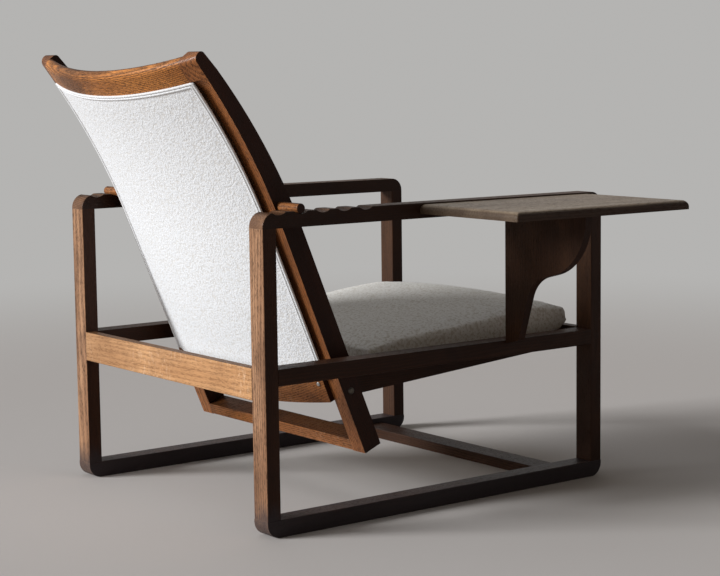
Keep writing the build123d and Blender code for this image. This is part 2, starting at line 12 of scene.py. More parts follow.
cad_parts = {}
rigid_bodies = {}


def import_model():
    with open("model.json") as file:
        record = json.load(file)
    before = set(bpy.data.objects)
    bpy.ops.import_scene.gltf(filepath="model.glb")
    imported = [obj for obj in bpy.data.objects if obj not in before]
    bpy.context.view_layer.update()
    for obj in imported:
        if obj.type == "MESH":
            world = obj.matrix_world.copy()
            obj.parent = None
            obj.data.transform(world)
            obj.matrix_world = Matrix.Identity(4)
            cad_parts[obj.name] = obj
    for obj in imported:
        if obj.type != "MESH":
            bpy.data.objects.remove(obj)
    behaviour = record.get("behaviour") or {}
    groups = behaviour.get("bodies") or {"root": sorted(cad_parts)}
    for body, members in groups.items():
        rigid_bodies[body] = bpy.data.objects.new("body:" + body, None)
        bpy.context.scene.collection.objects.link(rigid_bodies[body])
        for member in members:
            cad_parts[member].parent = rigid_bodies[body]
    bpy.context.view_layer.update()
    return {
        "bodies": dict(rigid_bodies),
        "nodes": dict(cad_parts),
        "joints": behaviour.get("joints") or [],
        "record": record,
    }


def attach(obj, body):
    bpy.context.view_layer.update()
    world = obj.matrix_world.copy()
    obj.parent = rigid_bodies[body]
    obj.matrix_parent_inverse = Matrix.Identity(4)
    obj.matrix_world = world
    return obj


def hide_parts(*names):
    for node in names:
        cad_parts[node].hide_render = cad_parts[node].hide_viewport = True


LOG = logging.getLogger("armchair")
MM = 0.001

Triple = tuple[float, float, float]
Colour = Triple
Tint = Colour | bpy.types.NodeSocket

# Features of the oak per metre: along the fibres, and on the two axes across them
TONE_SCALE = (2.2, 24.0, 24.0)
FIBRE_SCALE = (38.0, 1000.0, 1000.0)
PORE_SCALE = (105.0, 640.0, 640.0)
RAY_SCALE = (230.0, 50.0, 50.0)
RAY_ZONE_SCALE = (5.0, 9.0, 9.0)
RUB_SCALE = (28.0, 60.0, 60.0)
DRIFT_SCALE = (1.4, 8.0, 8.0)
SCUFF_SCALE = (900.0, 260.0, 260.0)

# Features per metre on every axis
BLOTCH_SCALE = (11.0, 11.0, 11.0)
YARN_SCALE = (420.0, 420.0, 420.0)
SOIL_SCALE = (22.0, 22.0, 22.0)

LOOP_SPACING = 6.0 * MM
SEAT_SLOPE = math.radians(4.36)


class Grain(Enum):
    """Direction that the fibres of a board run in, as the turn that brings it onto X."""

    ACROSS = (0.0, 0.0, 0.0)
    LENGTHWISE = (0.0, 0.0, -90.0)
    UPRIGHT = (0.0, 90.0, 0.0)
    LEANING = (22.3, 90.0, 0.0)


class Value:
    """Number in a shader. Arithmetic on it adds Math nodes to its material."""

    def __init__(self, shader: "Shader", socket: bpy.types.NodeSocket) -> None:
        """Wrap one socket.

        Args:
            shader: Material that the socket belongs to.
            socket: Output socket with the number.
        """
        self.shader = shader
        self.socket = socket

    def _math(self, operation: str, *values: "Value | float") -> "Value":
        """Add a Math node.

        Args:
            operation: Name of the operation.
            values: Its operands in order.

        Returns:
            The result.
        """
        inputs = {place: value for place, value in enumerate(values)}
        return self.shader.value("ShaderNodeMath", {"operation": operation}, inputs)

    def __add__(self, other: "Value | float") -> "Value":
        """Sum of both."""
        return self._math("ADD", self, other)

    __radd__ = __add__

    def __sub__(self, other: "Value | float") -> "Value":
        """This less the other."""
        return self._math("SUBTRACT", self, other)

    def __rsub__(self, other: "Value | float") -> "Value":
        """The other less this."""
        return self._math("SUBTRACT", other, self)

    def __mul__(self, other: "Value | float") -> "Value":
        """Product of both."""
        return self._math("MULTIPLY", self, other)

    __rmul__ = __mul__

    def fraction(self) -> "Value":
        """Part after the decimal point."""
        return self._math("FRACT", self)

    def size(self) -> "Value":
        """Number without its sign."""
        return self._math("ABSOLUTE", self)

    def most(self, other: "Value") -> "Value":
        """Larger of both."""
        return self._math("MAXIMUM", self, other)

    def step(self, low: float, high: float) -> "Value":
        """Smooth step from 0 at low to 1 at high.

        Args:
            low: Where the step starts.
            high: Where it ends.

        Returns:
            The eased value, from 0 to 1.
        """
        settings = {"interpolation_type": "SMOOTHSTEP"}
        inputs = {"Value": self, "From Min": low, "From Max": high}
        return self.shader.value("ShaderNodeMapRange", settings, inputs)


class Shader:
    """Node material with one Principled shader."""

    def __init__(self, name: str) -> None:
        """Make an empty material.

        Args:
            name: Name of the material.
        """
        self.material = bpy.data.materials.new(name)
        self.material.use_nodes = True
        self.tree = self.material.node_tree
        self.surface = self.tree.nodes["Principled BSDF"]

    def node(self, kind: str, settings: dict, inputs: dict) -> bpy.types.Node:
        """Add a node, set it up and feed its sockets.

        Args:
            kind: Type of the node.
            settings: Attributes to set first, by name.
            inputs: Values, links or sockets by the input's name or place.

        Returns:
            The node.
        """
        node = self.tree.nodes.new(kind)
        for name, setting in settings.items():
            setattr(node, name, setting)
        for name, value in inputs.items():
            if isinstance(value, Value):
                self.tree.links.new(value.socket, node.inputs[name])
            elif isinstance(value, bpy.types.NodeSocket):
                self.tree.links.new(value, node.inputs[name])
            else:
                node.inputs[name].default_value = value
        return node

    def value(self, kind: str, settings: dict, inputs: dict, output: str | int = 0) -> Value:
        """Add a node and wrap one of its outputs as a number.

        Args:
            kind: Type of the node.
            settings: Attributes to set first.
            inputs: Values or links of its inputs.
            output: Name or place of the output.

        Returns:
            The output as a number.
        """
        return Value(self, self.node(kind, settings, inputs).outputs[output])

    def place(self, turn: Triple = (0.0,) * 3, shift: Triple = (0.0,) * 3) -> bpy.types.NodeSocket:
        """Object coordinates, turned in degrees and shifted in metres.

        Args:
            turn: Turn about X, Y and Z.
            shift: Shift after the turn.

        Returns:
            Vector socket.
        """
        source = self.node("ShaderNodeTexCoord", {}, {}).outputs["Object"]
        turned = Euler([math.radians(angle) for angle in turn])
        return self.node(
            "ShaderNodeMapping", {}, {"Vector": source, "Rotation": turned, "Location": shift}
        ).outputs[0]

    def scaled(self, vector: bpy.types.NodeSocket, scale: Triple) -> bpy.types.NodeSocket:
        """Vector times a scale on each axis.

        Args:
            vector: Vector socket.
            scale: Factor on each axis.

        Returns:
            Vector socket.
        """
        return self.node("ShaderNodeVectorMath", {"operation": "MULTIPLY"}, {0: vector, 1: scale}).outputs[0]

    def noise(
        self, vector: bpy.types.NodeSocket, scale: Triple, detail: float = 2.0, twist: float = 0.0
    ) -> Value:
        """Soft noise at a scale on each axis.

        Args:
            vector: Coordinates.
            scale: Features per metre on each axis.
            detail: Number of finer layers.
            twist: Distortion.

        Returns:
            Noise from 0 to 1.
        """
        inputs = {"Vector": self.scaled(vector, scale), "Scale": 1.0, "Detail": detail, "Distortion": twist}
        return self.value("ShaderNodeTexNoise", {}, inputs)

    def part(self, vector: bpy.types.NodeSocket, axis: str) -> Value:
        """One axis of a vector.

        Args:
            vector: Vector socket.
            axis: X, Y or Z.

        Returns:
            The number on that axis.
        """
        return self.value("ShaderNodeSeparateXYZ", {}, {0: vector}, axis)

    def mix(self, share: Value | float, first: Tint, second: Tint) -> bpy.types.NodeSocket:
        """Mix two colours.

        Args:
            share: Share of the second.
            first: Colour or socket.
            second: Colour or socket.

        Returns:
            Colour socket.
        """
        inputs = {0: share, 6: self._colour(first), 7: self._colour(second)}
        return self.node("ShaderNodeMix", {"data_type": "RGBA"}, inputs).outputs[2]

    @staticmethod
    def _colour(value: Tint | float) -> tuple[float, ...] | bpy.types.NodeSocket | float:
        """Colour with an alpha, or any other value as it is."""
        return (*value, 1.0) if isinstance(value, tuple) else value

    def bump(self, height: Value, depth: float, strength: float = 1.0) -> None:
        """Feed the surface's normal from a height.

        Args:
            height: Height from 0 to 1.
            depth: Depth of 1 in metres.
            strength: Strength of the relief.
        """
        inputs = {"Height": height, "Distance": depth, "Strength": strength}
        normal = self.node("ShaderNodeBump", {}, inputs).outputs[0]
        self.tree.links.new(normal, self.surface.inputs["Normal"])

    def feed(self, name: str, value: Value | Tint | float) -> None:
        """Set or link one input of the surface.

        Args:
            name: Name of the input.
            value: Number, colour, Value or socket.
        """
        target = self.surface.inputs[name]
        if isinstance(value, Value):
            self.tree.links.new(value.socket, target)
        elif isinstance(value, bpy.types.NodeSocket):
            self.tree.links.new(value, target)
        else:
            target.default_value = self._colour(value)


@dataclass(frozen=True)
class OakFinish:
    """Stained oak: fine rings, open pores, ray flecks, blotches, painted light on the rear and top faces with
    painted shade on the other sides, and rubbed edges.
    """

    light: Colour = (0.43, 0.25, 0.14)
    middle: Colour = (0.31, 0.165, 0.088)
    dark: Colour = (0.10, 0.045, 0.022)
    pore: Colour = (0.03, 0.014, 0.008)
    worn: Colour = (0.52, 0.35, 0.23)
    # Factor that darkens the faces not turned to the rear or up: painted shade.
    painted_shade_tint: Colour = (0.10, 0.06, 0.038)
    # Colour that the bottom few centimetres are darkened towards.
    bottom_dark_colour: Colour = (0.036, 0.03, 0.034)
    rings_per_metre: float = 290.0
    ring_depth: float = 0.34
    fibre_depth: float = 0.3
    pore_depth: float = 0.6
    fleck: float = 0.0
    blotch: float = 0.35
    wear: float = 0.3
    # Share of darkening towards the bottom, near the floor.
    bottom_darkening: float = 0.0
    gloss: float = 0.14
    shine: float = 0.13
    # Painted light: how much of the lit colour the rear-facing and the upward faces keep.
    rear_painted_light: float = 1.0
    top_painted_light: float = 0.25
    end_shade: float = 0.0
    joint: float = 0.0
    relief: float = 0.3 * MM
    edge_radius: float = 2.5 * MM

    def material(self, name: str, grain: Grain, place: int) -> bpy.types.Material:
        """Make the finish for one board.

        Args:
            name: Name of the material.
            grain: Direction of the fibres.
            place: Place of the board in the stack, which shifts the pattern.

        Returns:
            The material.
        """
        shader = Shader(name)
        shift = self._shift(place)
        board = shader.place(grain.value, shift)
        tone = shader.noise(board, TONE_SCALE, 4.0, 0.3)
        fibre = shader.noise(board, FIBRE_SCALE)
        early = self._rings(shader, board)
        pores = (shader.noise(board, PORE_SCALE) + early * 0.09).step(0.56, 0.68)
        edge = self._edge(shader)
        rub = shader.noise(board, RUB_SCALE, 3.0)
        painted_lit_share = self._painted_light_share(shader)
        ground = self._figure(shader, board, tone, fibre, early)
        blotches = shader.noise(shader.place(shift=shift), BLOTCH_SCALE, 4.0, 0.5).step(0.48, 0.72)
        ground = shader.mix(blotches * self.blotch, ground, self.dark)
        if self.end_shade:
            left_end = shader.part(shader.place(), "X").step(0.02, 0.3)
            ground = shader.mix(left_end * (0.45 + tone * 0.55) * self.end_shade, ground, self.dark)
        ground = shader.mix(edge * rub.step(0.4, 0.62) * self.wear, ground, self.worn)
        # Painted light and shade: faces turned to the rear and up keep the lit colour, and the other sides
        # are darkened as painted shade.
        ground = shader.mix(painted_lit_share, self._painted_shade(shader, ground), ground)
        ground = shader.mix(pores * self.pore_depth, ground, self.pore)
        ground = self._marked(shader, ground, rub)
        shader.feed("Base Color", ground)
        shader.feed("Roughness", 0.4 + pores * 0.25 + tone * 0.14 - edge * 0.1)
        # The coat is weaker on the painted-shade faces, which paints their reflection down as well.
        shader.feed("Coat Weight", self.gloss * (1.0 - pores * 0.7) * (0.25 + painted_lit_share * 0.75))
        shader.feed("Coat Roughness", 0.25)
        shader.feed("Specular IOR Level", self.shine)
        shader.bump(1.0 - pores * 0.75 - early * 0.12 - fibre * 0.2, self.relief, 0.6)
        return shader.material

    @staticmethod
    def _shift(place: int) -> Triple:
        """Shift of the pattern that keeps neighbouring boards unlike.

        Args:
            place: Place of the board in the stack.

        Returns:
            Shift in metres, with the fibres along X.
        """
        return (0.37 * place, 0.11 + 0.053 * (place % 7), 0.09 + 0.041 * (place % 5))

    def _figure(
        self, shader: Shader, board: bpy.types.NodeSocket, tone: Value, fibre: Value, early: Value
    ) -> bpy.types.NodeSocket:
        """Colour of the sawn wood: tone, rings, fibres and, where the board has them, ray flecks.

        Args:
            shader: Material to add to.
            board: Coordinates with the fibres along X.
            tone: Slow change of tone.
            fibre: Fine streaks.
            early: Early wood of the rings.

        Returns:
            Colour socket.
        """
        ground = shader.mix(tone.step(0.3, 0.7), self.light, self.middle)
        ground = shader.mix(early * self.ring_depth, ground, self.dark)
        ground = shader.mix(fibre.step(0.35, 0.7) * self.fibre_depth, ground, self.dark)
        if self.fleck:
            ray = shader.noise(board, RAY_SCALE, 1.0, 1.4)
            zone = shader.noise(board, RAY_ZONE_SCALE, 1.0).step(0.42, 0.6)
            ground = shader.mix(ray.step(0.56, 0.7) * zone * self.fleck, ground, self.worn)
        return ground

    def _marked(self, shader: Shader, ground: bpy.types.NodeSocket, rub: Value) -> bpy.types.NodeSocket:
        """Colour darkened towards the bottom near the floor, and the dark lines of the glued joints.

        Args:
            shader: Material to add to.
            ground: Colour so far.
            rub: Noise that breaks up the edge of the darkening.

        Returns:
            Colour socket.
        """
        # Darker towards the bottom, within a few centimetres of the floor.
        if self.bottom_darkening:
            height = shader.part(shader.place(), "Z")
            foot = 1.0 - (height + (rub - 0.5) * 0.05).step(0.02, 0.085)
            ground = shader.mix(foot * self.bottom_darkening, ground, self.bottom_dark_colour)
        if self.joint:
            across = shader.part(shader.place(), "X").size()
            line = 1.0 - (across - self.joint).size().step(0.4 * MM, 1.5 * MM)
            ground = shader.mix(line * 0.8, ground, self.pore)
        return ground

    def _rings(self, shader: Shader, board: bpy.types.NodeSocket) -> Value:
        """Open early wood of the growth rings round the board's pith.

        Args:
            shader: Material to add to.
            board: Coordinates with the fibres along X.

        Returns:
            1 in early wood and 0 in late wood.
        """
        drift = shader.noise(board, DRIFT_SCALE, 3.0, 0.5)
        across = shader.scaled(board, (0.0, 1.0, 1.0))
        radius = shader.value("ShaderNodeVectorMath", {"operation": "LENGTH"}, {0: across}, "Value")
        ring = (radius * self.rings_per_metre + drift * 7.0).fraction()
        return ring.step(0.0, 0.25) * (1.0 - ring.step(0.4, 0.85))

    def _painted_shade(self, shader: Shader, ground: bpy.types.NodeSocket) -> bpy.types.NodeSocket:
        """Darker colour that paints shade on the faces that the painted light leaves out.

        Args:
            shader: Material to add to.
            ground: Colour of a face under painted light.

        Returns:
            Colour of the same wood darkened as painted shade.
        """
        return shader.scaled(ground, self.painted_shade_tint)

    def _painted_light_share(self, shader: Shader) -> Value:
        """Share of painted light by face direction: the rear faces and the top are painted lit, and the outer
        sides get painted shade.

        Args:
            shader: Material to add to.

        Returns:
            0 under full painted shade and 1 where painted lit.
        """
        normal = shader.node("ShaderNodeNewGeometry", {}, {}).outputs["Normal"]
        rear = shader.part(normal, "Y").step(0.3, 0.85)
        top = shader.part(normal, "Z").step(0.5, 0.95)
        return rear * self.rear_painted_light + top * self.top_painted_light

    def _edge(self, shader: Shader) -> Value:
        """Share of a surface's nearness to an edge.

        Args:
            shader: Material to add to.

        Returns:
            0 on a face and 1 on an edge.
        """
        round_normal = shader.node("ShaderNodeBevel", {"samples": 6}, {"Radius": self.edge_radius}).outputs[0]
        normal = shader.node("ShaderNodeNewGeometry", {}, {}).outputs["Normal"]
        facing = shader.value(
            "ShaderNodeVectorMath", {"operation": "DOT_PRODUCT"}, {0: round_normal, 1: normal}, "Value"
        )
        return (1.0 - facing).step(0.01, 0.16)


@dataclass(frozen=True)
class BoucleFinish:
    """Off-white cloth with a pile of small curled loops."""

    pile: Colour = (0.87, 0.875, 0.89)
    # Painted shade: the colour that the hollows between the loops are darkened to.
    crevice_shade: Colour = (0.66, 0.61, 0.54)
    loops_per_metre: float = 235.0
    curls_per_loop: float = 2.4
    jitter_scale: float = 210.0
    jitter_reach: float = 4.0 * MM
    relief: float = 1.2 * MM

    def material(self, name: str) -> bpy.types.Material:
        """Make the finish.

        Args:
            name: Name of the material.

        Returns:
            The material.
        """
        shader = Shader(name)
        place = shader.place()
        inputs = {"Vector": place, "Scale": self.jitter_scale, "Detail": 2.0}
        jitter = shader.node("ShaderNodeTexNoise", {}, inputs)
        curled = shader.node(
            "ShaderNodeVectorMath",
            {"operation": "MULTIPLY_ADD"},
            {0: jitter.outputs["Color"], 1: (self.jitter_reach,) * 3, 2: place},
        ).outputs[0]
        loops = self._cells(shader, curled, self.loops_per_metre)
        curls = self._cells(shader, curled, self.loops_per_metre * self.curls_per_loop)
        yarn = shader.noise(place, YARN_SCALE, 3.0)
        height = loops * 0.6 + curls * 0.25 + yarn * 0.15
        # Painted shade in the hollows between the loops, on top of the bump relief.
        gap = 1.0 - (height + (yarn - 0.5) * 0.5).step(0.16, 0.46)
        shader.feed("Base Color", shader.mix(gap * 0.55, self.pile, self.crevice_shade))
        shader.feed("Roughness", 0.95)
        shader.feed("Sheen Weight", 0.2)
        shader.feed("Sheen Roughness", 0.6)
        shader.feed("Specular IOR Level", 0.15)
        shader.bump(height, self.relief, 0.7)
        return shader.material

    @staticmethod
    def _cells(shader: Shader, vector: bpy.types.NodeSocket, scale: float) -> Value:
        """Rounded loops as a height.

        Args:
            shader: Material to add to.
            vector: Coordinates.
            scale: Loops per metre.

        Returns:
            Height from 0 to 1.
        """
        settings = {"feature": "SMOOTH_F1"}
        inputs = {"Vector": vector, "Scale": scale, "Smoothness": 0.6}
        return 1.0 - shader.value("ShaderNodeTexVoronoi", settings, inputs, "Distance").step(0.0, 0.85)


@dataclass(frozen=True)
class PlainClothFinish:
    """Tightly woven cloth, for the piping and, in near black, for the painted shade along the cover's edges.
    """

    colour: Colour = (0.88, 0.88, 0.89)
    shade: Colour = (0.76, 0.75, 0.74)
    threads_per_metre: float = 900.0

    def material(self, name: str) -> bpy.types.Material:
        """Make the finish.

        Args:
            name: Name of the material.

        Returns:
            The material.
        """
        shader = Shader(name)
        place = shader.place((38.0, 12.0, 45.0))
        threads = [
            shader.value(
                "ShaderNodeTexWave",
                {"bands_direction": direction},
                {"Vector": place, "Scale": self.threads_per_metre / 20.0, "Distortion": 0.4},
                "Fac",
            )
            for direction in ("X", "Y")
        ]
        weave = threads[0] * 0.5 + threads[1] * 0.5
        soil = shader.noise(place, SOIL_SCALE, 3.0)
        clean = (weave * 0.5 + soil * 0.5).step(0.2, 0.75)
        shader.feed("Base Color", shader.mix(clean, self.shade, self.colour))
        shader.feed("Roughness", 0.85)
        shader.feed("Sheen Weight", 0.15)
        shader.bump(weave, 0.25 * MM, 0.6)
        return shader.material


@dataclass(frozen=True)
class SteelFinish:
    """Zinc-plated steel with light scratches."""

    colour: Colour = (0.52, 0.52, 0.51)
    dull: Colour = (0.33, 0.31, 0.29)

    def material(self, name: str) -> bpy.types.Material:
        """Make the finish.

        Args:
            name: Name of the material.

        Returns:
            The material.
        """
        shader = Shader(name)
        scuff = shader.noise(shader.place(), SCUFF_SCALE, 3.0)
        shader.feed("Base Color", shader.mix(scuff.step(0.45, 0.7) * 0.4, self.colour, self.dull))
        shader.feed("Metallic", 1.0)
        shader.feed("Roughness", 0.3 + scuff * 0.25)
        shader.bump(scuff, 0.05 * MM, 0.4)
        return shader.material


class Bench:
    """Modelling operators, each on one object alone."""

    @staticmethod
    def pick(piece: bpy.types.Object) -> bpy.types.Object:
        """Make a piece the only selected one and the active one.

        Args:
            piece: Piece to work on.

        Returns:
            The same piece.
        """
        bpy.ops.object.select_all(action="DESELECT")
        piece.select_set(True)
        bpy.context.view_layer.objects.active = piece
        return piece

    @classmethod
    def apply(cls, piece: bpy.types.Object) -> bpy.types.Object:
        """Apply every modifier of a piece in order.

        Args:
            piece: Piece with modifiers.

        Returns:
            The same piece.
        """
        cls.pick(piece)
        for modifier in list(piece.modifiers):
            bpy.ops.object.modifier_apply(modifier=modifier.name)
        return piece

    @classmethod
    def copy_of_nodes(cls, nodes: list[str], name: str) -> bpy.types.Object:
        """Copy the meshes of CAD nodes into one new piece with its corners merged.

        Args:
            nodes: Names of the nodes.
            name: Name of the new piece.

        Returns:
            The new piece.
        """
        copies = []
        for node in nodes:
            piece = bpy.data.objects.new(name, bpy.data.objects[node].data.copy())
            bpy.context.scene.collection.objects.link(piece)
            copies.append(piece)
        piece = cls.pick(copies[0])
        if len(copies) > 1:
            for other in copies[1:]:
                other.select_set(True)
            bpy.ops.object.join()
        bpy.ops.object.mode_set(mode="EDIT")
        bpy.ops.mesh.select_all(action="SELECT")
        bpy.ops.mesh.remove_doubles(threshold=0.01 * MM)
        bpy.ops.object.mode_set(mode="OBJECT")
        piece.data.materials.clear()
        return piece

    @classmethod
    def raise_loops(cls, piece: bpy.types.Object, name: str, height: float) -> bpy.types.Object:
        """Raise the loops of a pile as real relief, after the piece's other modifiers.

        Args:
            piece: Cloth to work on.
            name: Name of the relief's texture.
            height: Height of the loops.

        Returns:
            The same piece.
        """
        pile = bpy.data.textures.new(name, "VORONOI")
        pile.noise_scale = LOOP_SPACING
        lumps = piece.modifiers.new("loops", "DISPLACE")
        lumps.texture = pile
        lumps.texture_coords = "LOCAL"
        lumps.strength = -height
        lumps.mid_level = 0.5
        return cls.apply(piece)

    @classmethod
    def smooth(cls, piece: bpy.types.Object, angle: float) -> bpy.types.Object:
        """Shade a piece smooth up to an angle.

        Args:
            piece: Piece to shade.
            angle: Largest angle, in degrees, that stays smooth.

        Returns:
            The same piece.
        """
        cls.pick(piece)
        bpy.ops.object.shade_smooth_by_angle(angle=math.radians(angle))
        return piece


@dataclass
class BackForm:
    """Curved form of the back: straight below the bend, swept above it, and hollow across."""

    pivot: Vector = field(default_factory=lambda: Vector((0.0, 517.5, 245.0)) * MM)
    lean: float = math.radians(22.284)
    stile_back: float = 19.0 * MM
    bend_start: float = 360.0 * MM
    bend_radius: float = 1330.0 * MM
    plan_radius: float = 836.94 * MM
    sagitta: float = 56.0 * MM
    crest_start: float = 688.0 * MM
    cover_foot_edge: float = 276.0 * MM
    cover_head_edge: float = 269.0 * MM
    welt_width: float = 11.0 * MM
    cover_start: float = 42.0 * MM

    def edge(self, along: float) -> float:
        """Distance of the cover's outer edge from the middle.

        Args:
            along: Length up the back from the pivot.

        Returns:
            The distance.
        """
        share = (along - self.cover_start) / (self.crest_start - self.cover_start)
        return self.cover_foot_edge + (self.cover_head_edge - self.cover_foot_edge) * share

    def place(self, point: Vector) -> tuple[float, float]:
        """Length up the back and depth behind the stiles' rear edges, of a point above the bend.

        Args:
            point: Point in the chair's frame.

        Returns:
            Length from the pivot, and depth, which is less than 0 in front.
        """
        arm = point - self.pivot
        rise = arm.y * math.sin(self.lean) + arm.z * math.cos(self.lean) - self.bend_start
        back = arm.y * math.cos(self.lean) - arm.z * math.sin(self.lean)
        out = self.stile_back + self.bend_radius - back
        if rise <= 0.0:
            return self.bend_start + rise, self.bend_radius - out
        along = self.bend_start + self.bend_radius * math.atan2(rise, out)
        return along, self.bend_radius - math.hypot(rise, out)

    def point(self, across: float, along: float, layer: float = 0.0) -> Vector:
        """Point on a layer of the back.

        Args:
            across: Distance from the middle.
            along: Length up the back from the pivot.
            layer: Height over the rear cover's surface.

        Returns:
            The point in the chair's frame.
        """
        turn = max(0.0, (along - self.bend_start) / self.bend_radius)
        rise = min(along, self.bend_start) + self.bend_radius * math.sin(turn)
        rear = self.stile_back + self.bend_radius * (1.0 - math.cos(turn))
        depth = self.sagitta - self.plan_radius + math.sqrt((self.plan_radius + layer) ** 2 - across**2)
        up = rise - depth * math.sin(turn)
        out = rear + depth * math.cos(turn)
        y = out * math.cos(self.lean) + up * math.sin(self.lean)
        z = up * math.cos(self.lean) - out * math.sin(self.lean)
        return self.pivot + Vector((across, y, z))


@dataclass
class RearCover:
    """Outside back of nubbly cloth, drawn tight over its board and down the board's edges."""

    form: BackForm
    cloth: bpy.types.Material
    painted_gap_shade: bpy.types.Material
    mesh_step: float = 2.6 * MM
    margin: float = 1.2 * MM
    tuck: float = 2.5 * MM
    stile_gap: float = 0.6 * MM
    undercut: float = 14.0 * MM
    puff_height: float = 1.2 * MM
    puff_start: float = 8.0 * MM
    puff_run: float = 30.0 * MM
    loop_height: float = 0.9 * MM

    def build(self) -> bpy.types.Object:
        """Build the cover.

        Returns:
            The piece.
        """
        start = self.form.cover_start
        end = self.form.crest_start - self.margin
        half = self.form.edge(start) - self.margin
        columns = round(2.0 * half / self.mesh_step)
        rows = round((end - start) / self.mesh_step)
        bpy.ops.mesh.primitive_grid_add(x_subdivisions=columns, y_subdivisions=rows, size=1.0)
        piece = bpy.context.active_object
        piece.name = "rear_cover_cloth"
        for vertex in piece.data.vertices:
            along = start + (vertex.co.y + 0.5) * (end - start)
            reach = self.form.edge(along) - self.margin
            across = vertex.co.x * 2.0 * reach
            inset = min(reach - abs(across), end - along, along - start)
            rise = min(1.0, max(0.0, inset - self.puff_start) / self.puff_run)
            vertex.co = self.form.point(across, along, self.puff_height * math.sqrt(rise))
        Bench.raise_loops(piece, "pile_loops", self.loop_height)
        self._tuck_edges(piece)
        piece.data.materials.append(self.cloth)
        piece.data.materials.append(self.painted_gap_shade)
        Bench.smooth(piece, 60.0)
        2.0 * half
        end - start
        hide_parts("rear_cover")
        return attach(piece, "back")

    def _tuck_edges(self, piece: bpy.types.Object) -> None:
        """Turn the cloth's ends in towards the rails, and its sides down and under to the stiles.

        Args:
            piece: Cover to work on.
        """
        Bench.pick(piece)
        first_new = len(piece.data.vertices)
        bpy.ops.object.mode_set(mode="EDIT")
        bpy.ops.mesh.select_all(action="DESELECT")
        bpy.ops.mesh.select_mode(type="EDGE")
        bpy.ops.mesh.select_non_manifold(extend=False)
        inward = Vector((0.0, -math.cos(self.form.lean), math.sin(self.form.lean)))
        bpy.ops.mesh.extrude_region_move(TRANSFORM_OT_translate={"value": inward * self.tuck})
        bpy.ops.object.mode_set(mode="OBJECT")
        for vertex in list(piece.data.vertices)[first_new:]:
            along, depth = self.form.place(vertex.co)
            at_side = abs(vertex.co.x) > self.form.edge(along) - 3.0 * self.margin
            if at_side and depth > self.stile_gap:
                vertex.co += inward * (depth - self.stile_gap)
                vertex.co.x -= math.copysign(self.undercut, vertex.co.x)
        # The turned-in faces take the near-black cloth, which paints the shade in the gap beside the stiles.
        for face in piece.data.polygons:
            if max(face.vertices) >= first_new:
                face.material_index = 1


@dataclass
class DoubleWelt:
    """Two cords of piping side by side round the top and sides of the outside back."""

    form: BackForm
    cloth: bpy.types.Material
    cord_radius: float = 2.7 * MM
    sink: float = 0.3 * MM
    corner: float = 5.0 * MM
    lanes: tuple[float, float] = (0.25, 0.75)
    side_steps: int = 60
    bend_steps: int = 8
    top_steps: int = 30

    def build(self) -> bpy.types.Object:
        """Build both cords as one piece.

        Returns:
            The piece.
        """
        line = bpy.data.curves.new("rear_welt_cords", "CURVE")
        line.dimensions = "3D"
        line.bevel_depth = self.cord_radius
        line.bevel_resolution = 3
        line.use_fill_caps = True
        for lane in self.lanes:
            points = self._path(self.form.welt_width * lane)
            spline = line.splines.new("POLY")
            spline.points.add(len(points) - 1)
            for target, point in zip(spline.points, points):
                target.co = (*point, 1.0)
        piece = bpy.data.objects.new("rear_welt_cords", line)
        bpy.context.scene.collection.objects.link(piece)
        Bench.pick(piece)
        bpy.ops.object.convert(target="MESH")
        piece = bpy.context.active_object
        piece.data.materials.append(self.cloth)
        Bench.smooth(piece, 50.0)
        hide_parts("rear_welt")
        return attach(piece, "back")

    def _path(self, inset: float) -> list[Vector]:
        """Line of one cord: up one side, across the top and down the other.

        Args:
            inset: Distance of the line in from the cover's outer edge.

        Returns:
            Points of the line.
        """
        low = self.form.cover_start
        high = self.form.crest_start - inset
        half = self.form.edge(high) - inset
        straight = high - self.corner - low
        rises = [low + straight * step / self.side_steps for step in range(self.side_steps + 1)]
        side = [(self.form.edge(along) - inset, along) for along in rises]
        bend = []
        for step in range(1, self.bend_steps):
            turn = math.pi * step / (2.0 * self.bend_steps)
            in_by = self.corner * (1.0 - math.cos(turn))
            down_by = self.corner * (1.0 - math.sin(turn))
            bend.append((half - in_by, high - down_by))
        flat = half - self.corner
        top = [(flat * (1.0 - step / self.top_steps), high) for step in range(self.top_steps + 1)]
        right = side + bend + top
        left = [(-across, along) for across, along in reversed(right[:-1])]
        return [self.form.point(across, along, self.sink) for across, along in right + left]


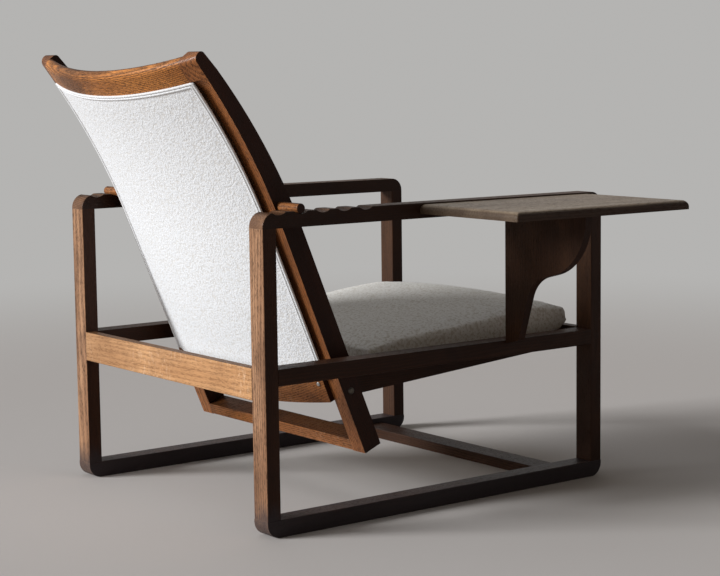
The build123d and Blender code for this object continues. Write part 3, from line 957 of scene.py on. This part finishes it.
@dataclass
class Pad:
    """Stuffed pad under nubbly cloth, swelled by air pressure from its CAD form."""

    nodes: list[str]
    name: str
    body: str
    cloth: bpy.types.Material
    held_side: Vector
    voxel: float = 8.0 * MM
    pressure: float = 4.0
    shrink: float = 3.0 * MM
    swell_limit: float = 5.0 * MM
    loop_height: float = 1.0 * MM
    fill: float = 0.8
    frames: int = 14
    stretch_stiffness: float = 12.0
    shear_stiffness: float = 6.0
    bending_stiffness: float = 0.4
    held_share: float = 0.75

    def build(self) -> bpy.types.Object:
        """Build the pad.

        Returns:
            The piece.
        """
        piece = Bench.copy_of_nodes(self.nodes, self.name)
        self._remesh(piece)
        self._shape(piece)
        self._inflate(piece)
        finer = piece.modifiers.new("finer", "SUBSURF")
        finer.levels = 1
        finer.render_levels = 1
        Bench.raise_loops(piece, self.name + "_loops", self.loop_height)
        piece.data.materials.append(self.cloth)
        Bench.smooth(piece, 60.0)
        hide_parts(*self.nodes)
        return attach(piece, self.body)

    def _shape(self, piece: bpy.types.Object) -> None:
        """Shape the pad's edges before it swells: none here."""

    def _remesh(self, piece: bpy.types.Object) -> None:
        """Give the pad an even mesh and round its corners.

        Args:
            piece: Pad to work on.
        """
        remesh = piece.modifiers.new("even", "REMESH")
        remesh.mode = "VOXEL"
        remesh.voxel_size = self.voxel
        even = piece.modifiers.new("soften", "SMOOTH")
        even.factor = 0.5
        even.iterations = 3
        Bench.apply(piece)

    def _inflate(self, piece: bpy.types.Object) -> None:
        """Swell the cloth by pressure and cap how far each point moves.

        Args:
            piece: Pad to work on.
        """
        for vertex in piece.data.vertices:
            vertex.co -= vertex.normal * self.shrink
        rest = [vertex.co.copy() for vertex in piece.data.vertices]
        held = piece.vertex_groups.new(name="held")
        for vertex in piece.data.vertices:
            if vertex.normal.dot(self.held_side) > self.held_share:
                held.add([vertex.index], 1.0, "REPLACE")
        cloth = piece.modifiers.new("pressure", "CLOTH")
        settings = cloth.settings
        settings.quality = 4
        settings.mass = 0.3
        settings.tension_stiffness = self.stretch_stiffness
        settings.compression_stiffness = self.stretch_stiffness
        settings.shear_stiffness = self.shear_stiffness
        settings.bending_stiffness = self.bending_stiffness
        settings.use_pressure = True
        settings.uniform_pressure_force = self.pressure
        settings.vertex_group_mass = held.name
        settings.effector_weights.gravity = 0.0
        cloth.collision_settings.use_collision = False
        cloth.point_cache.frame_start = 1
        cloth.point_cache.frame_end = self.frames
        for frame in range(1, self.frames + 1):
            bpy.context.scene.frame_set(frame)
        Bench.apply(piece)
        bpy.context.scene.frame_set(1)
        for vertex, start in zip(piece.data.vertices, rest):
            moved = vertex.co - start
            if moved.length > self.swell_limit:
                vertex.co = start + moved.normalized() * self.swell_limit
        piece.vertex_groups.clear()


@dataclass
class BackPad(Pad):
    """Front pad of the back, whose top edge rolls over to the board below the crest rail."""

    form: BackForm = field(default_factory=BackForm)
    board_depth: float = 22.0 * MM
    roll: float = 70.0 * MM
    lip_share: float = 0.3

    def _shape(self, piece: bpy.types.Object) -> None:
        """Roll the pad's front over towards its board along the top edge.

        Args:
            piece: Pad to work on.
        """
        end = self.form.crest_start
        for vertex in piece.data.vertices:
            along, depth = self.form.place(vertex.co)
            left = min(1.0, max(0.0, (end - along) / self.roll))
            if left < 1.0:
                share = self.lip_share + (1.0 - self.lip_share) * math.sqrt(1.0 - (1.0 - left) ** 2)
                hollow = self.form.sagitta - self.form.plan_radius
                arc = hollow + math.sqrt(self.form.plan_radius**2 - vertex.co.x**2) - self.board_depth
                excess = (arc - depth) * (1.0 - share)
                if excess > 0.0:
                    turn = self.form.lean + (along - self.form.bend_start) / self.form.bend_radius
                    vertex.co += Vector((0.0, math.cos(turn), -math.sin(turn))) * excess


@dataclass
class Woodwork:
    """Oak boards of the chair, each with its own run of grain."""

    honey: OakFinish = OakFinish(
        light=(0.72, 0.395, 0.185),
        middle=(0.57, 0.29, 0.125),
        dark=(0.20, 0.085, 0.034),
        worn=(0.80, 0.52, 0.32),
        ring_depth=0.2,
        pore_depth=0.3,
        fleck=0.6,
        blotch=0.3,
        end_shade=0.6,
    )
    brown: OakFinish = OakFinish(
        light=(0.50, 0.27, 0.145),
        middle=(0.31, 0.15, 0.075),
        dark=(0.08, 0.034, 0.016),
        blotch=0.45,
        bottom_darkening=0.8,
    )
    amber: OakFinish = OakFinish(
        light=(0.50, 0.19, 0.055),
        middle=(0.32, 0.11, 0.03),
        dark=(0.06, 0.022, 0.009),
        blotch=0.55,
        fleck=0.3,
        gloss=0.2,
    )
    walnut: OakFinish = OakFinish(
        light=(0.46, 0.165, 0.05),
        middle=(0.28, 0.095, 0.028),
        dark=(0.06, 0.022, 0.009),
        worn=(0.5, 0.24, 0.1),
        fibre_depth=0.5,
        gloss=0.2,
    )
    crest: OakFinish = OakFinish(
        light=(0.86, 0.33, 0.075),
        middle=(0.55, 0.185, 0.038),
        dark=(0.055, 0.02, 0.008),
        blotch=0.6,
        fibre_depth=0.7,
        ring_depth=0.5,
        gloss=0.3,
        joint=261.0 * MM,
    )
    dusky: OakFinish = OakFinish(
        light=(0.30, 0.15, 0.075),
        middle=(0.19, 0.09, 0.044),
        dark=(0.05, 0.022, 0.011),
        gloss=0.2,
        wear=0.25,
    )
    # Darker copy of the oak for the boards that sit in shadow: painted shade, with almost no painted light on
    # their rear and top faces.
    painted_shade_oak: OakFinish = OakFinish(
        light=(0.42, 0.21, 0.10),
        middle=(0.26, 0.12, 0.055),
        dark=(0.07, 0.03, 0.014),
        rear_painted_light=0.12,
        top_painted_light=0.03,
        wear=0.2,
    )
    # The tray takes full painted light on its top, less on its rear edge, and painted shade on its other
    # sides.
    tray: OakFinish = OakFinish(
        light=(0.36, 0.27, 0.18),
        middle=(0.27, 0.19, 0.125),
        dark=(0.10, 0.066, 0.042),
        painted_shade_tint=(0.14, 0.09, 0.07),
        rear_painted_light=0.3,
        top_painted_light=1.0,
        gloss=0.3,
        wear=0.25,
    )

    def dress(self, nodes: dict[str, bpy.types.Object]) -> None:
        """Give each board its material.

        Args:
            nodes: CAD nodes by name.
        """
        boards = self._plan()
        for place, (name, (finish, grain)) in enumerate(sorted(boards.items())):
            board = nodes[name]
            board.data.materials.clear()
            board.data.materials.append(finish.material(f"oak_{name}", grain, place))
            Bench.smooth(board, 30.0)
            LOG.info("oak on %s", name)

    def _plan(self) -> dict[str, tuple[OakFinish, Grain]]:
        """Finish and grain of every board.

        Returns:
            Pairs by node name.
        """
        plan = {
            "rear_rail": (self.honey, Grain.ACROSS),
            "front_rail": (self.painted_shade_oak, Grain.ACROSS),
            "floor_stretcher": (self.painted_shade_oak, Grain.ACROSS),
            "bottom_rail": (self.amber, Grain.ACROSS),
            "lower_rail": (self.amber, Grain.ACROSS),
            "crest_rail": (self.crest, Grain.ACROSS),
            "left_stile": (self.walnut, Grain.LEANING),
            "right_stile": (self.walnut, Grain.LEANING),
            "tray_inner_board": (self.tray, Grain.LENGTHWISE),
            "tray_outer_board": (self.tray, Grain.LENGTHWISE),
            "tray_bracket": (self.painted_shade_oak, Grain.UPRIGHT),
            "stub_pins": (self.amber, Grain.ACROSS),
            "front_pegs": (self.dusky, Grain.ACROSS),
            "seat_pivot_dowels": (self.brown, Grain.ACROSS),
            "seat_front_bar": (self.painted_shade_oak, Grain.ACROSS),
            "seat_rear_bar": (self.painted_shade_oak, Grain.ACROSS),
            "seat_left_rail": (self.painted_shade_oak, Grain.LENGTHWISE),
            "seat_right_rail": (self.painted_shade_oak, Grain.LENGTHWISE),
        }
        for hand in ("left", "right"):
            plan[f"{hand}_runner"] = (self.brown, Grain.LENGTHWISE)
            plan[f"{hand}_arm"] = (self.dusky, Grain.LENGTHWISE)
            plan[f"{hand}_side_rail"] = (self.painted_shade_oak, Grain.LENGTHWISE)
            plan[f"{hand}_rear_post"] = (self.brown, Grain.UPRIGHT)
            plan[f"{hand}_front_post"] = (self.painted_shade_oak, Grain.UPRIGHT)
        return plan


@dataclass
class InnerWork:
    """Raw timber, plywood and steel that the upholstery hides or that holds the pivots."""

    raw: OakFinish = OakFinish(
        light=(0.56, 0.40, 0.235),
        middle=(0.47, 0.32, 0.18),
        dark=(0.30, 0.18, 0.09),
        pore=(0.2, 0.12, 0.06),
        blotch=0.1,
        gloss=0.0,
        wear=0.1,
    )
    steel: SteelFinish = SteelFinish()
    aged: SteelFinish = SteelFinish(colour=(0.10, 0.085, 0.07), dull=(0.05, 0.04, 0.032))

    def dress(self, nodes: dict[str, bpy.types.Object]) -> None:
        """Give each inner piece its material.

        Args:
            nodes: CAD nodes by name.
        """
        steel = self.steel.material("plated_steel")
        aged = self.aged.material("aged_steel")
        timber = {
            "panel_battens": Grain.LEANING,
            "back_board": Grain.LEANING,
            "tray_dowels": Grain.ACROSS,
            "bracket_dowels": Grain.UPRIGHT,
        }
        for place, (name, grain) in enumerate(timber.items()):
            nodes[name].data.materials.clear()
            nodes[name].data.materials.append(self.raw.material(f"raw_{name}", grain, place + 3))
            LOG.info("raw timber on %s", name)
        for name in ("pivot_bolts", "pivot_washers", "pivot_nuts", "back_screws"):
            nodes[name].data.materials.clear()
            nodes[name].data.materials.append(aged if name == "pivot_bolts" else steel)
            Bench.smooth(nodes[name], 30.0)
            LOG.info("steel on %s", name)


@dataclass
class Studio:
    """Pale floor, soft light from the chair's left rear, and the photograph's camera."""

    camera_place: Vector = field(default_factory=lambda: Vector((-3.15631, 2.60387, 0.86517)))
    camera_right: Vector = field(default_factory=lambda: Vector((-0.624465, -0.781007, -0.008469)))
    camera_down: Vector = field(default_factory=lambda: Vector((-0.083408, 0.077464, -0.9935)))
    lens: float = 91.505
    shift: tuple[float, float] = (-0.09314, -0.01079)
    floor_colour: Colour = (0.60, 0.555, 0.525)
    wall_colour: Colour = (0.46, 0.455, 0.445)
    fill_colour: Colour = (1.0, 0.87, 0.72)
    fill_strength: float = 0.10
    sun_from: Vector = field(default_factory=lambda: Vector((0.4, 0.83, 0.34)))
    sun_strength: float = 3.9
    sun_angle: float = 22.0
    sun_colour: Colour = (0.94, 0.97, 1.0)
    softbox_place: Vector = field(default_factory=lambda: Vector((0.4, 0.6, 3.2)))
    softbox_aim: Vector = field(default_factory=lambda: Vector((0.0, 0.3, 0.45)))
    softbox_side: float = 2.6
    softbox_power: float = 15.0
    softbox_colour: Colour = (0.82, 0.9, 1.0)
    floor_side: float = 80.0
    fade_centre: float = 0.33
    fade_start: float = 1.3
    fade_end: float = 4.2

    def build(self) -> None:
        """Build the floor, the world, the lights and the camera."""
        self._floor()
        self._world()
        self._sun()
        self._softbox()
        self._camera()

    def _floor(self) -> None:
        """Lay a pale floor that fades into the wall's colour away from the chair."""
        bpy.ops.mesh.primitive_plane_add(size=self.floor_side, location=(0.0, 0.0, 0.0))
        floor = bpy.context.active_object
        floor.name = "floor"
        shader = Shader("pale_floor")
        shader.feed("Base Color", self.floor_colour)
        shader.feed("Roughness", 0.8)
        place = shader.place(shift=(0.0, -self.fade_centre, 0.0))
        away = shader.value("ShaderNodeVectorMath", {"operation": "LENGTH"}, {0: place}, "Value")
        wall = shader.node("ShaderNodeEmission", {}, {"Color": (*self.wall_colour, 1.0)}).outputs[0]
        share = away.step(self.fade_start, self.fade_end) * self._seen(shader)
        inputs = {0: share, 1: shader.surface.outputs[0], 2: wall}
        blend = shader.node("ShaderNodeMixShader", {}, inputs).outputs[0]
        shader.tree.links.new(blend, shader.tree.nodes["Material Output"].inputs["Surface"])
        floor.data.materials.append(shader.material)

    @staticmethod
    def _seen(shader: Shader) -> Value:
        """Share of rays that show the background: from the camera, in gloss or through glass."""
        path = shader.node("ShaderNodeLightPath", {}, {})
        kinds = ("Is Camera Ray", "Is Glossy Ray", "Is Transmission Ray")
        seen = [Value(shader, path.outputs[kind]) for kind in kinds]
        return seen[0].most(seen[1]).most(seen[2])

    def _world(self) -> None:
        """Light the room evenly and show it as a pale wall."""
        world = bpy.data.worlds.new("room")
        world.use_nodes = True
        bpy.context.scene.world = world
        tree = world.node_tree
        lit = tree.nodes["Background"]
        lit.inputs["Color"].default_value = (*self.fill_colour, 1.0)
        lit.inputs["Strength"].default_value = self.fill_strength
        seen = tree.nodes.new("ShaderNodeBackground")
        seen.inputs["Color"].default_value = (*self.wall_colour, 1.0)
        seen.inputs["Strength"].default_value = 1.0
        path = tree.nodes.new("ShaderNodeLightPath")
        share = path.outputs["Is Camera Ray"]
        for kind in ("Is Glossy Ray", "Is Transmission Ray"):
            either = tree.nodes.new("ShaderNodeMath")
            either.operation = "MAXIMUM"
            tree.links.new(share, either.inputs[0])
            tree.links.new(path.outputs[kind], either.inputs[1])
            share = either.outputs[0]
        mix = tree.nodes.new("ShaderNodeMixShader")
        tree.links.new(share, mix.inputs[0])
        tree.links.new(lit.outputs[0], mix.inputs[1])
        tree.links.new(seen.outputs[0], mix.inputs[2])
        tree.links.new(mix.outputs[0], tree.nodes["World Output"].inputs["Surface"])

    def _sun(self) -> None:
        """Let soft daylight in from the chair's left rear."""
        lamp = bpy.data.lights.new("daylight", "SUN")
        lamp.energy = self.sun_strength
        lamp.angle = math.radians(self.sun_angle)
        lamp.color = self.sun_colour
        holder = bpy.data.objects.new("daylight", lamp)
        holder.location = self.sun_from * 4.0
        holder.rotation_euler = (-self.sun_from).to_track_quat("-Z", "Y").to_euler()
        bpy.context.scene.collection.objects.link(holder)

    def _softbox(self) -> None:
        """Hang one large soft light over the chair."""
        lamp = bpy.data.lights.new("softbox", "AREA")
        lamp.shape = "RECTANGLE"
        lamp.size = lamp.size_y = self.softbox_side
        lamp.energy = self.softbox_power
        lamp.color = self.softbox_colour
        holder = bpy.data.objects.new("softbox", lamp)
        holder.location = self.softbox_place
        aim = self.softbox_aim - self.softbox_place
        holder.rotation_euler = aim.to_track_quat("-Z", "Y").to_euler()
        bpy.context.scene.collection.objects.link(holder)

    def _camera(self) -> None:
        """Set the camera where the photograph was taken from."""
        lens = bpy.data.cameras.new("camera")
        lens.sensor_width = 36.0
        lens.lens = self.lens
        lens.shift_x, lens.shift_y = self.shift
        lens.clip_start, lens.clip_end = 0.1, 100.0
        camera = bpy.data.objects.new("camera", lens)
        backward = self.camera_down.cross(self.camera_right)
        turn = Matrix((self.camera_right, -self.camera_down, backward)).transposed()
        camera.matrix_world = Matrix.Translation(self.camera_place) @ turn.to_4x4()
        bpy.context.scene.collection.objects.link(camera)
        bpy.context.scene.camera = camera


def main() -> None:
    """Build the chair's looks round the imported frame."""
    logging.basicConfig(level=logging.INFO, format="%(name)s: %(message)s")
    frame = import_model()
    nodes = frame["nodes"]
    bpy.context.scene.view_settings.view_transform = "Standard"
    Studio().build()
    Woodwork().dress(nodes)
    InnerWork().dress(nodes)
    form = BackForm()
    boucle = BoucleFinish().material("boucle_cloth")
    # The seat's copy of the bouclé is warmer and darker, with deeper hollows: painted shade on the seat,
    # whose cloth is the same as the back's.
    seat_boucle_painted_shade = BoucleFinish(
        pile=(0.85, 0.81, 0.75), crevice_shade=(0.46, 0.38, 0.28), loops_per_metre=180.0
    ).material("seat_boucle_painted_shade_cloth")
    piping = PlainClothFinish().material("piping_cloth")
    # Near-black cloth on the cover's turned-in edges: painted shade in the gap beside the stiles.
    painted_gap_shade = PlainClothFinish((0.035, 0.032, 0.03), (0.02, 0.018, 0.017)).material("painted_gap_shade_cloth")
    under_seat = Vector((0.0, -math.sin(SEAT_SLOPE), -math.cos(SEAT_SLOPE)))
    behind_back = Vector((0.0, math.cos(form.lean), -math.sin(form.lean)))
    pieces = [
        RearCover(form, boucle, painted_gap_shade).build(),
        DoubleWelt(form, piping).build(),
        Pad(["seat_pad", "seat_deck"], "seat_cushion", "seat", seat_boucle_painted_shade, under_seat).build(),
        BackPad(["back_pad"], "back_cushion", "back", boucle, behind_back, form=form).build(),
    ]
    for piece in pieces:
        LOG.info("built %s", piece.name)


if __name__ == "__main__":
    main()
